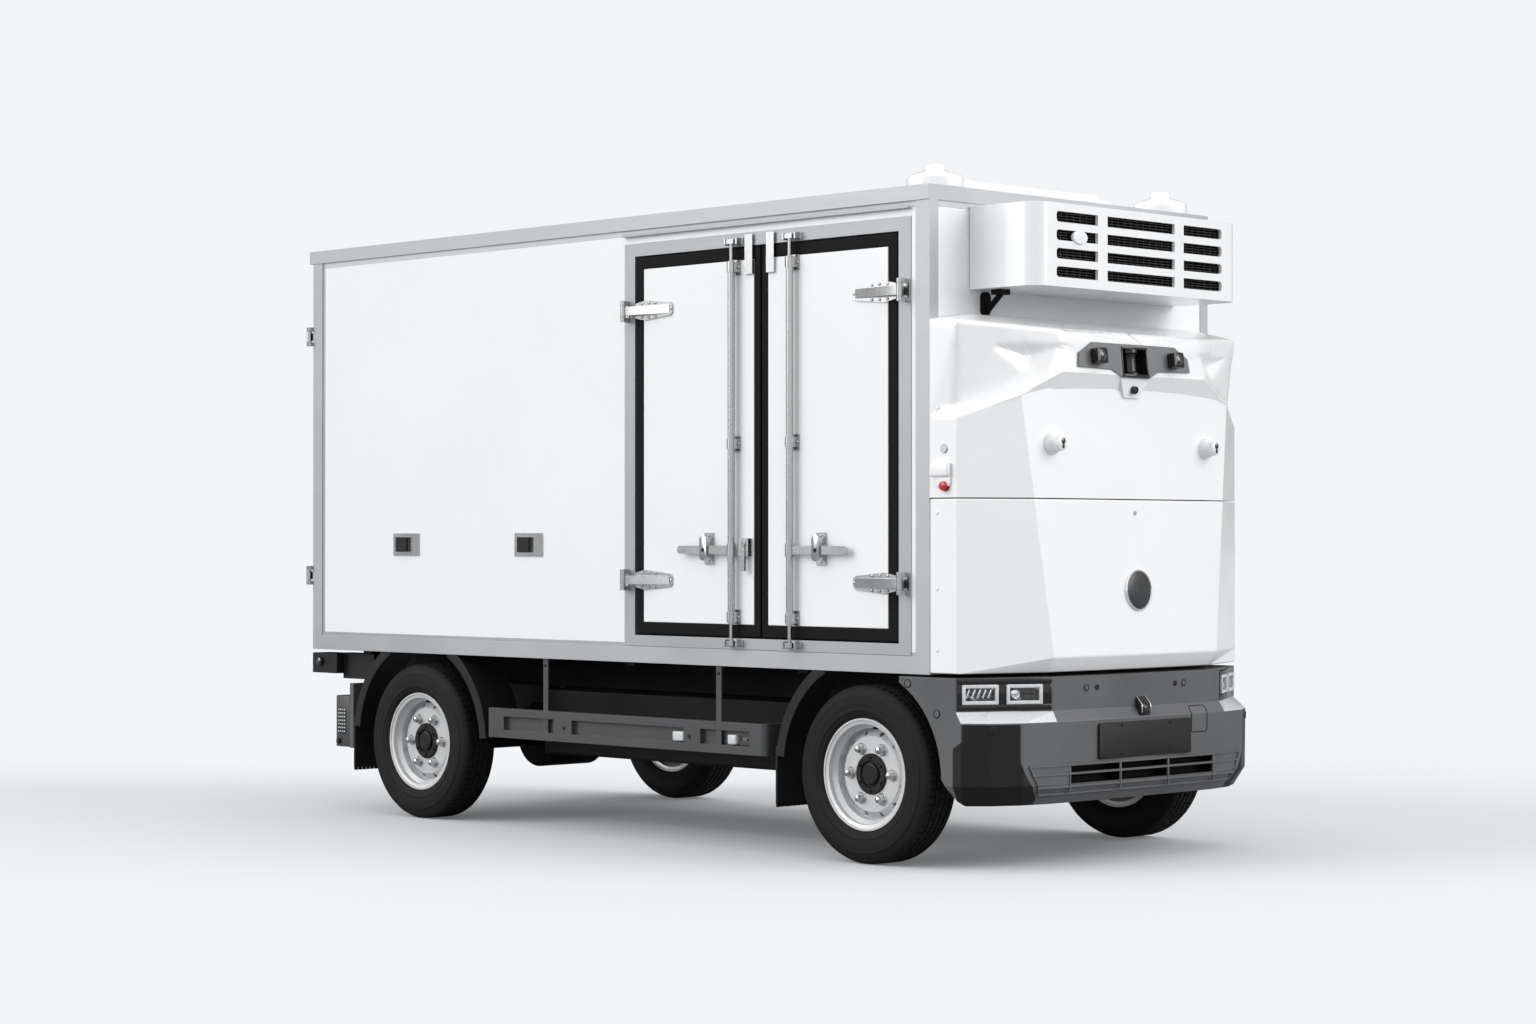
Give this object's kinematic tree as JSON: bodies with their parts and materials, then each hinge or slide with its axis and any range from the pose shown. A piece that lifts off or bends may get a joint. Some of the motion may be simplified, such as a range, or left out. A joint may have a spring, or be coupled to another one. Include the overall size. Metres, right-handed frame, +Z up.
{
  "type": "cabless refrigerated delivery van",
  "caption": "Driverless refrigerated delivery van: insulated box with hinged side and rear double doors, front cooling unit, sensor nose, steered front wheels.",
  "frame": {"origin": "on the ground below the middle of the van", "axes": "+X forward, +Y to the van's left, +Z up"},
  "size_m": [4.3679, 1.801, 2.727],
  "materials": {
    "white_panel": "satin white skin",
    "white_moulding": "gloss white",
    "grey_aluminium": "satin anodised",
    "pale_frame": "satin",
    "stainless": "brushed",
    "black_rubber": "matt",
    "black_plastic": "satin",
    "sensor_grey": "satin",
    "dark_grey_paint": "semi-gloss",
    "lamp_lens": "clear",
    "chassis_black": "semi-gloss",
    "battery_grey": "matt",
    "tyre": "matt",
    "silver_wheel": "silver",
    "hub_black": "painted"
  },
  "bodies": {
    "van": {"cargo_floor": "grey_aluminium", "roof_panel": "white_panel", "left_wall": "white_panel", "right_wall": "white_panel", "front_wall": "white_panel", "edge_trims": "grey_aluminium", "side_door_frame": "pale_frame", "rear_portal": "pale_frame", "hinge_butts": "stainless", "door_catches": "stainless", "nose_lower": "white_moulding", "nose_upper": "white_moulding", "sensor_plate": "sensor_grey", "sensor_units": "black_plastic", "bumper": "dark_grey_paint", "lamps": "lamp_lens", "cooling_shell": "white_moulding", "cooling_core": "black_plastic", "cooling_pipe": "black_rubber", "roof_pods": "white_moulding", "roof_hatch": "white_moulding", "frame_rails": "chassis_black", "frame_crossmembers": "chassis_black", "battery_pack": "battery_grey", "front_axle": "chassis_black", "rear_axle": "chassis_black", "leaf_springs": "chassis_black", "side_guards": "dark_grey_paint", "mudguards": "black_rubber", "rear_bumper": "dark_grey_paint", "rear_sensor_pods": "black_plastic"},
    "left_knuckle": {"knuckle_left": "chassis_black"},
    "right_knuckle": {"knuckle_right": "chassis_black"},
    "steering_tie_rod": {"tie_rod": "stainless"},
    "front_left_wheel": {"tyre_front_left": "tyre", "wheel_front_left": "silver_wheel", "hub_front_left": "hub_black"},
    "front_right_wheel": {"tyre_front_right": "tyre", "wheel_front_right": "silver_wheel", "hub_front_right": "hub_black"},
    "rear_left_wheel": {"tyre_rear_left": "tyre", "wheel_rear_left": "silver_wheel", "hub_rear_left": "hub_black"},
    "rear_right_wheel": {"tyre_rear_right": "tyre", "wheel_rear_right": "silver_wheel", "hub_rear_right": "hub_black"},
    "side_rear_door": {"side_rear_panel": "white_panel", "side_rear_seal": "black_rubber", "side_rear_gear": "stainless"},
    "side_front_door": {"side_front_panel": "white_panel", "side_front_seal": "black_rubber", "side_front_gear": "stainless"},
    "rear_right_door": {"rear_right_panel": "white_panel", "rear_right_seal": "black_rubber", "rear_right_gear": "stainless"},
    "rear_left_door": {"rear_left_panel": "white_panel", "rear_left_seal": "black_rubber", "rear_left_gear": "stainless"}
  },
  "joints": [
    {"name": "steer_left", "type": "hinge", "parent": "van", "child": "left_knuckle", "pos_m": [1.47, 0.653, 0.35], "axis": [0, 0, 1], "range_deg": [-35, 35]},
    {"name": "steer_right", "type": "hinge", "parent": "van", "child": "right_knuckle", "pos_m": [1.47, -0.653, 0.35], "axis": [0, 0, 1], "range_deg": [-35, 35]},
    {"name": "tie_rod_end", "type": "hinge", "parent": "left_knuckle", "child": "steering_tie_rod", "pos_m": [1.3, 0.653, 0.238], "axis": [0, 0, 1], "range_deg": [-35, 35]},
    {"name": "front_left_spin", "type": "hinge", "parent": "left_knuckle", "child": "front_left_wheel", "pos_m": [1.47, 0.775, 0.35], "axis": [0, 1, 0], "continuous": true},
    {"name": "front_right_spin", "type": "hinge", "parent": "right_knuckle", "child": "front_right_wheel", "pos_m": [1.47, -0.775, 0.35], "axis": [0, 1, 0], "continuous": true},
    {"name": "rear_left_spin", "type": "hinge", "parent": "van", "child": "rear_left_wheel", "pos_m": [-1.33, 0.775, 0.35], "axis": [0, 1, 0], "continuous": true},
    {"name": "rear_right_spin", "type": "hinge", "parent": "van", "child": "rear_right_wheel", "pos_m": [-1.33, -0.775, 0.35], "axis": [0, 1, 0], "continuous": true},
    {"name": "side_rear_swing", "type": "hinge", "parent": "van", "child": "side_rear_door", "pos_m": [0.108, -0.9, 1.6], "axis": [0, 0, -1], "range_deg": [0, 180]},
    {"name": "side_front_swing", "type": "hinge", "parent": "van", "child": "side_front_door", "pos_m": [1.702, -0.9, 1.6], "axis": [0, 0, 1], "range_deg": [0, 180]},
    {"name": "rear_right_swing", "type": "hinge", "parent": "van", "child": "rear_right_door", "pos_m": [-2.158, -0.869, 1.6], "axis": [0, 0, 1], "range_deg": [0, 265]},
    {"name": "rear_left_swing", "type": "hinge", "parent": "van", "child": "rear_left_door", "pos_m": [-2.158, 0.869, 1.6], "axis": [0, 0, -1], "range_deg": [0, 265]}
  ],
  "couplings": [
    {"joint": "steer_right", "follows": "steer_left", "ratio": 1},
    {"joint": "tie_rod_end", "follows": "steer_left", "ratio": -1}
  ]
}
